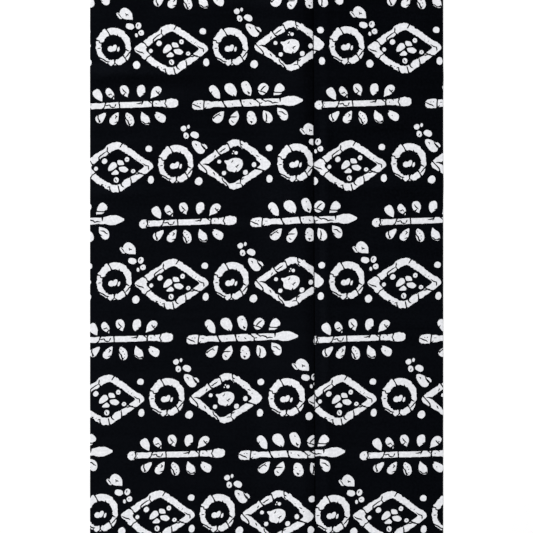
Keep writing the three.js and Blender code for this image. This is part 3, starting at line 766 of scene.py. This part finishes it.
def build_sheet():
    outline, lines, loose = grid_points()
    shapes = print_shapes()
    points, edges, faces, paints = [], [], [], []
    lookup = {}

    def add(u, v):
        key = (round(u, 3), round(v, 3))
        if key not in lookup:
            lookup[key] = len(points)
            points.append(Vector(key))
        return lookup[key]

    def add_face(shape, paint):
        """Every outline goes in anticlockwise, because a clockwise one would hold all outside it."""
        if sum(x0 * y1 - x1 * y0 for (x0, y0), (x1, y1) in zip(shape, shape[1:] + shape[:1])) < 0:
            shape = shape[::-1]
        ids = [add(*p) for p in shape]
        if len(set(ids)) == len(ids):
            faces.append(ids)
            paints.append(paint)

    add_face(outline, PAINT_GROUND)
    for paint, shape in shapes:
        add_face(shape, paint)
    rng = random.Random(9)
    for side in (-1, 1):
        inner, count = [], 90
        for i in range(count + 1):
            u = -8 + (CUT_WIDTH + 30) * i / count
            inner.append((u, side * (HALF - SELVEDGE + 0.35 * math.sin(u * 0.13) + rng.uniform(-0.2, 0.2))))
        add_face(inner + [(CUT_WIDTH + 22, side * (HALF + 6)), (-8, side * (HALF + 6))], PAINT_SELVEDGE)
    for line in lines:
        ids = [add(*p) for p in line]
        edges += list(zip(ids, ids[1:]))

    # loose points keep off the drawn lines, so that no sliver is made there
    drawn = np.array([p[:] for p in points])
    from mathutils.kdtree import KDTree
    tree = KDTree(len(drawn))
    for i, p in enumerate(drawn):
        tree.insert((p[0], p[1], 0), i)
    tree.balance()
    for u, v in loose:
        if tree.find((u, v, 0))[2] > 1.9:
            add(u, v)

    verts, _, tris, _, _, parents = delaunay_2d_cdt(points, edges, faces, 0, 0.0005, True)
    flat = np.array([p[:] for p in verts], dtype=float)
    kept, paint_of = [], []
    for tri, parent in zip(tris, parents):
        if 0 not in parent:
            continue
        kept.append(tri)
        paint_of.append(paints[max(parent)])
    kept = np.array(kept)
    paint_of = np.array(paint_of)
    a, b, c = (flat[kept[:, k]] for k in range(3))
    turn = (b[:, 0] - a[:, 0]) * (c[:, 1] - a[:, 1]) - (b[:, 1] - a[:, 1]) * (c[:, 0] - a[:, 0])
    kept, paint_of, turn = kept[np.abs(turn) > 1e-7], paint_of[np.abs(turn) > 1e-7], turn[np.abs(turn) > 1e-7]
    kept[turn < 0] = kept[turn < 0][:, ::-1]

    used = np.unique(kept)
    renumber = np.full(len(flat), -1)
    renumber[used] = np.arange(len(used))
    kept, flat = renumber[kept], flat[used]
    count = len(flat)
    middle, normal = place(flat[:, 0], flat[:, 1])
    face_side = middle + normal * SHEET / 2
    back_side = middle - normal * SHEET / 2

    # the open boundary, for the cut edge between the two sides
    seen = {}
    for t, tri in enumerate(kept.tolist()):
        for i in range(3):
            seen.setdefault(frozenset((tri[i], tri[(i + 1) % 3])), []).append((tri[i], tri[(i + 1) % 3], t))
    rim = [found[0] for found in seen.values() if len(found) == 1]

    polygons = kept.tolist() + (kept[:, ::-1] + count).tolist() + [[j, i, i + count, j + count] for i, j, _ in rim]
    mesh = bpy.data.meshes.new("wax_print_cloth")
    mesh.from_pydata(np.concatenate([face_side, back_side]) * MM, [], polygons)
    slots = np.concatenate([paint_of, paint_of + 3, paint_of[[t for _, _, t in rim]] + 3])
    mesh.polygons.foreach_set("material_index", slots.astype(np.int32))
    mesh.polygons.foreach_set("use_smooth", np.array([True] * (2 * len(kept)) + [False] * len(rim)))

    # cloth coordinates for the weave, in metres, and a map for baked finishes in which printed
    # and unprinted faces of each side have a place of their own
    loops = np.zeros(len(mesh.loops), dtype=np.int32)
    mesh.loops.foreach_get("vertex_index", loops)
    face_of = np.repeat(np.arange(len(polygons)), [len(p) for p in polygons])
    uv = flat[loops % count]
    weave_map = mesh.uv_layers.new(name="Cloth")
    weave_map.data.foreach_set("uv", (uv * MM).astype(np.float32).ravel())
    slot = slots[face_of]
    column = np.where(slot % 3 == PAINT_PRINT, 1, 0)
    back = slot >= 3
    scale = np.where(back, 0.2, 0.86) / CUT_LENGTH
    start = np.where(back, 0.79 + column * 0.1, 0.01 + column * 0.39)
    baked = np.stack([start + uv[:, 0] * scale, 0.5 + uv[:, 1] * scale * np.where(back, 1, 1.1)], 1)
    bake_map = mesh.uv_layers.new(name="OFBake")
    bake_map.data.foreach_set("uv", baked.astype(np.float32).ravel())
    mesh.validate()
    mesh.update()
    # the cut edge is crisp, so its light does not run into the printed side
    rim_edges = {frozenset(pair) for i, j, _ in rim for pair in ((i, j), (i + count, j + count))}
    crisp = mesh.attributes.new("sharp_edge", "BOOLEAN", "EDGE")
    crisp.data.foreach_set("value", [frozenset(e.vertices) in rim_edges for e in mesh.edges])
    cloth = bpy.data.objects.new("wax_print_cloth", mesh)
    bpy.context.collection.objects.link(cloth)
    print("cloth:", len(polygons), "faces,", 2 * len(kept) + 2 * len(rim), "triangles,", len(shapes), "print shapes")
    return cloth


# ------------------------------------------------------------------ finishes
class Graph:
    """A short way to write a material's nodes."""

    def __init__(self, name):
        self.material = bpy.data.materials.new(name)
        self.material.use_nodes = True
        self.tree = self.material.node_tree
        self.shader = self.tree.nodes["Principled BSDF"]

    def node(self, kind, inputs=None, **settings):
        node = self.tree.nodes.new(kind)
        for key, value in settings.items():
            setattr(node, key, value)
        for key, value in (inputs or {}).items():
            if isinstance(value, bpy.types.NodeSocket):
                self.tree.links.new(value, node.inputs[key])
            else:
                node.inputs[key].default_value = value
        return node

    def math(self, operation, a, b=None, c=None, clamp=False):
        values = {i: v for i, v in enumerate((a, b, c)) if v is not None}
        return self.node("ShaderNodeMath", values, operation=operation, use_clamp=clamp).outputs[0]

    def link(self, socket, name):
        self.tree.links.new(socket, self.shader.inputs[name])


THREAD_PITCH = 0.00046   # metres between threads, both ways


def cotton(name, colour, light, shine, roughness, weave_depth, mottle, tint=(1.0, 1.0, 1.0), fine=1.0, bands=0.0, painted_light_band=0.0, grain=0.0):
    """Plain-weave cotton: a lighter colour on the threads' crowns and a darker one in their gaps, which is painted
    shade, with slubs, mottling and weave bump.
    Bands are faint uneven stripes along the weft. The band of painted light makes the colour lightest a little below
    the middle of the length and darkest in its upper part, standing in for the lamp's sheen.
    Grain is small blotches where the dye or the wax took unevenly."""
    g = Graph(name)
    uv = g.node("ShaderNodeUVMap", uv_map="Cloth").outputs[0]
    split = g.node("ShaderNodeSeparateXYZ", {0: uv})
    across = g.math("SINE", g.math("MULTIPLY", split.outputs[0], math.pi / THREAD_PITCH))
    along = g.math("SINE", g.math("MULTIPLY", split.outputs[1], math.pi / THREAD_PITCH))
    over = g.math("MULTIPLY_ADD", g.math("MULTIPLY", across, along), 0.5, 0.5)
    # uneven yarn: long thin streaks both ways
    streaks = []
    for sx, sy in ((55.0, 2100.0), (2100.0, 40.0)):
        stretched = g.node("ShaderNodeMapping", {"Vector": uv, "Scale": (sx, sy, 1.0)}).outputs[0]
        streaks.append(g.node("ShaderNodeTexNoise", {"Vector": stretched, "Scale": 1.0, "Detail": 2.0, "Roughness": 0.5}).outputs[0])
    slub = g.math("ADD", g.math("MULTIPLY", streaks[0], 0.5), g.math("MULTIPLY", streaks[1], 0.5))
    cloud = g.node("ShaderNodeTexNoise", {"Vector": uv, "Scale": 14.0, "Detail": 3.0, "Roughness": 0.55}).outputs[0]
    # painted shade: the weave's gaps take the darker colour and its crowns the lighter one; the slubs are the yarn's
    # own unevenness
    factor = g.math("ADD", g.math("MULTIPLY", over, 0.35), g.math("MULTIPLY", slub, 0.65))
    factor = g.math("MULTIPLY_ADD", g.math("SUBTRACT", cloud, 0.5), mottle, g.math("MULTIPLY", factor, fine))
    if bands:
        wide = g.node("ShaderNodeMapping", {"Vector": uv, "Scale": (6.0, 95.0, 1.0)}).outputs[0]
        stripe = g.node("ShaderNodeTexNoise", {"Vector": wide, "Scale": 1.0, "Detail": 3.0, "Roughness": 0.6}).outputs[0]
        factor = g.math("MULTIPLY_ADD", g.math("SUBTRACT", stripe, 0.5), bands, factor)
    if grain:
        blotch = g.node("ShaderNodeTexNoise", {"Vector": uv, "Scale": 330.0, "Detail": 2.0, "Roughness": 0.6}).outputs[0]
        factor = g.math("MULTIPLY_ADD", g.math("SUBTRACT", blotch, 0.5), grain, factor)
    # painted light: the base colour goes lighter in a broad band a little below the middle of the length and darker
    # towards the top, in place of the lamp's sheen
    if painted_light_band:
        slow = g.math("COSINE", g.math("MULTIPLY_ADD", split.outputs[1], 5.7, 0.97))
        factor = g.math("MULTIPLY_ADD", g.math("MULTIPLY_ADD", slow, 0.5, 0.5), painted_light_band, factor)
    factor = g.math("MAXIMUM", g.math("MINIMUM", factor, 1.0), 0.0)
    mix = g.node("ShaderNodeMix", {"Factor": factor, "A": (*colour, 1.0), "B": (*light, 1.0)}, data_type="RGBA")
    # the mix node has several sockets of one name, so the colour ones are set by place
    mix.inputs[6].default_value = (*colour, 1.0)
    mix.inputs[7].default_value = (*light, 1.0)
    g.link(mix.outputs[2], "Base Color")
    rough = g.math("MULTIPLY_ADD", slub, 0.16, roughness - 0.08)
    g.link(rough, "Roughness")
    weave = g.math("ADD", g.math("MULTIPLY", over, 0.7), g.math("MULTIPLY", slub, 0.5))
    fine = g.node("ShaderNodeBump", {"Height": weave, "Strength": 1.0, "Distance": weave_depth})
    rumple = g.node("ShaderNodeTexNoise", {"Vector": uv, "Scale": 22.0, "Detail": 2.0, "Roughness": 0.45}).outputs[0]
    soft = g.node("ShaderNodeBump", {"Height": rumple, "Strength": 1.0, "Distance": 0.0006, "Normal": fine.outputs[0]})
    g.link(soft.outputs[0], "Normal")
    g.shader.inputs["Specular IOR Level"].default_value = shine
    g.shader.inputs["Specular Tint"].default_value = (*tint, 1.0)
    g.shader.inputs["Metallic"].default_value = 0.0
    return g.material


def finishes():
    return [
        # the black ground's second-last setting, 0.6, is painted light: its colour is lighter a little below the middle
        # of the length
        cotton("black_ground", (0.0001, 0.0002, 0.0004), (0.0015, 0.0018, 0.0026), 0.080, 0.40, 0.000012, 0.7, (0.62, 0.72, 1.0), 0.3, 1.1, 0.6, 2.4),
        cotton("white_print", (0.684, 0.690, 0.719), (0.860, 0.866, 0.894), 0.10, 0.80, 0.00003, 0.12, fine=0.5, grain=3.0),
        cotton("selvedge", (0.640, 0.630, 0.600), (0.740, 0.730, 0.700), 0.12, 0.85, 0.00006, 0.5),
        cotton("black_ground_back", (0.0036, 0.0038, 0.0052), (0.0068, 0.0070, 0.0090), 0.05, 0.80, 0.00004, 0.6),
        cotton("white_print_back", (0.600, 0.605, 0.630), (0.700, 0.705, 0.730), 0.12, 0.85, 0.00004, 0.5),
        cotton("selvedge_back", (0.620, 0.610, 0.580), (0.720, 0.710, 0.680), 0.12, 0.85, 0.00006, 0.5),
    ]


# ------------------------------------------------------------------ floor, light, camera
def plain_material(name, colour, roughness):
    g = Graph(name)
    g.shader.inputs["Base Color"].default_value = (*colour, 1.0)
    g.shader.inputs["Roughness"].default_value = roughness
    g.shader.inputs["Specular IOR Level"].default_value = 0.0
    return g.material


def studio():
    mesh = bpy.data.meshes.new("floor")
    r = 9.0
    mesh.from_pydata([(-r, -r, 0), (r, -r, 0), (r, r, 0), (-r, r, 0)], [], [(0, 1, 2, 3)])
    mesh.materials.append(plain_material("pale_floor", (0.975, 0.975, 0.975), 1.0))
    floor = bpy.data.objects.new("floor", mesh)
    bpy.context.collection.objects.link(floor)

    world = bpy.data.worlds.new("studio")
    world.use_nodes = True
    world.node_tree.nodes["Background"].inputs[0].default_value = (0.985, 0.99, 1.0, 1.0)
    world.node_tree.nodes["Background"].inputs[1].default_value = WORLD_LIGHT
    bpy.context.scene.world = world

    for lamp in LAMPS:
        data = bpy.data.lights.new(lamp["name"], "AREA")
        data.shape, data.size, data.size_y = "RECTANGLE", lamp["wide"], lamp["tall"]
        data.energy = lamp["watts"]
        data.color = (1.0, 1.0, 1.0)
        ob = bpy.data.objects.new(lamp["name"], data)
        ob.location = (lamp["x"], lamp["y"], lamp["z"])
        ob.rotation_euler = (-Vector(ob.location)).to_track_quat("-Z", "Y").to_euler()
        bpy.context.collection.objects.link(ob)

    # straight down on the middle of the cut, its length up the picture
    camera = bpy.data.cameras.new("camera")
    camera.sensor_width = 36.0
    camera.lens = 36.0 * CAMERA_HEIGHT / VIEW_WIDTH
    camera.clip_end = 50
    ob = bpy.data.objects.new("camera", camera)
    ob.location = (0, 0, CAMERA_HEIGHT)
    ob.rotation_euler = (0, 0, 0)
    bpy.context.collection.objects.link(ob)
    bpy.context.scene.camera = ob
    bpy.context.scene.view_settings.view_transform = "Standard"
    return floor


VIEW_WIDTH = 0.690       # metres across the picture, at the cloth
CAMERA_HEIGHT = 3.6
WORLD_LIGHT = 0.12
LAMPS = [
    {"name": "key", "x": -7.70, "y": 4.40, "z": 8.20, "wide": 2.6, "tall": 2.6, "watts": 2120.0},
]

floor = studio()
cloth = build_sheet()
for material in finishes():
    cloth.data.materials.append(material)
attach(cloth, "root")
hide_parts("cloth")
